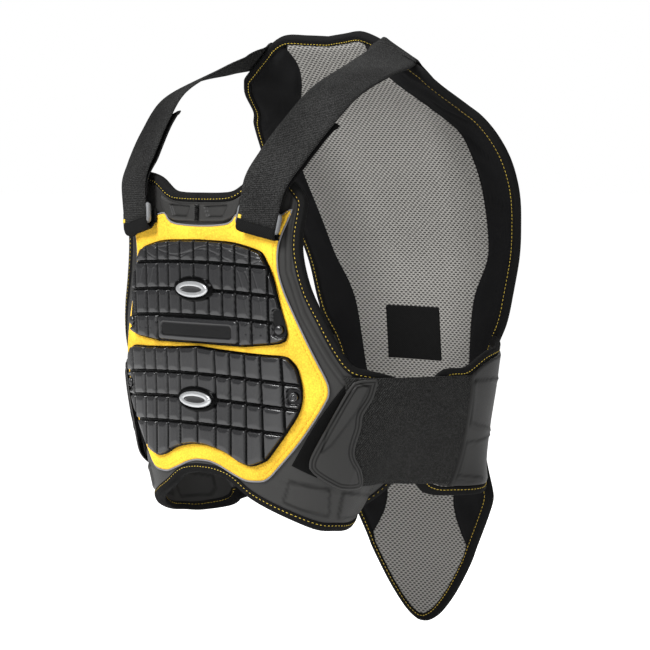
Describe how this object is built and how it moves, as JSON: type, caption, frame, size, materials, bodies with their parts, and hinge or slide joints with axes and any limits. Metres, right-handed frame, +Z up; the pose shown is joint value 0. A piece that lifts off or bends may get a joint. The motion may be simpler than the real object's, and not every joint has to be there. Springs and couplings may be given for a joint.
{
  "type": "motorcycle armour vest",
  "caption": "Motorcycle armour vest with segmented hard chest plates on a yellow panel, a long padded back shell, shoulder straps and side belts",
  "frame": {"origin": "between the undersides of the two shoulder straps, on the middle plane, where the vest hangs on the wearer's shoulders", "axes": "+X to the wearer's left, +Y to the wearer's back (the wearer faces -Y), +Z up"},
  "size_m": [0.366, 0.3372, 0.6064],
  "materials": {
    "leatherette": "matte",
    "suede": "matte",
    "hard_plastic": "semi_gloss",
    "silver_plastic": "semi_gloss",
    "braid": "matte",
    "soft_lining": "matte",
    "spacer_mesh": "matte",
    "elastic": "matte",
    "webbing": "matte",
    "grey_plastic": "matte"
  },
  "bodies": {
    "root": {"chest_panel": "leatherette", "chest_binding": "braid", "chest_overlay": "suede", "chest_top_pad_left": "leatherette", "chest_top_pad_right": "leatherette", "upper_plate": "hard_plastic", "upper_badge": "silver_plastic", "lower_plate": "hard_plastic", "lower_badge": "silver_plastic", "plate_rivet_upper_left": "hard_plastic", "plate_rivet_upper_right": "hard_plastic", "plate_rivet_lower_left": "hard_plastic", "plate_rivet_lower_right": "hard_plastic", "back_panel": "leatherette", "back_binding": "braid", "back_mesh": "spacer_mesh", "back_side_lining_left": "soft_lining", "back_side_lining_right": "soft_lining", "inner_label": "webbing", "shoulder_strap_left": "elastic", "shoulder_strap_right": "elastic", "strap_end_left": "webbing", "strap_end_right": "webbing", "strap_ring_left": "grey_plastic", "strap_ring_right": "grey_plastic", "strap_tab_left": "webbing", "strap_tab_right": "webbing", "hook_patch_left": "soft_lining", "hook_patch_right": "soft_lining", "belt_elastic_left": "elastic", "belt_elastic_right": "elastic", "belt_tab_left": "leatherette", "belt_tab_right": "leatherette", "belt_flap_left": "leatherette", "belt_flap_right": "leatherette", "flap_binding_left": "braid", "flap_binding_right": "braid"}
  },
  "joints": []
}
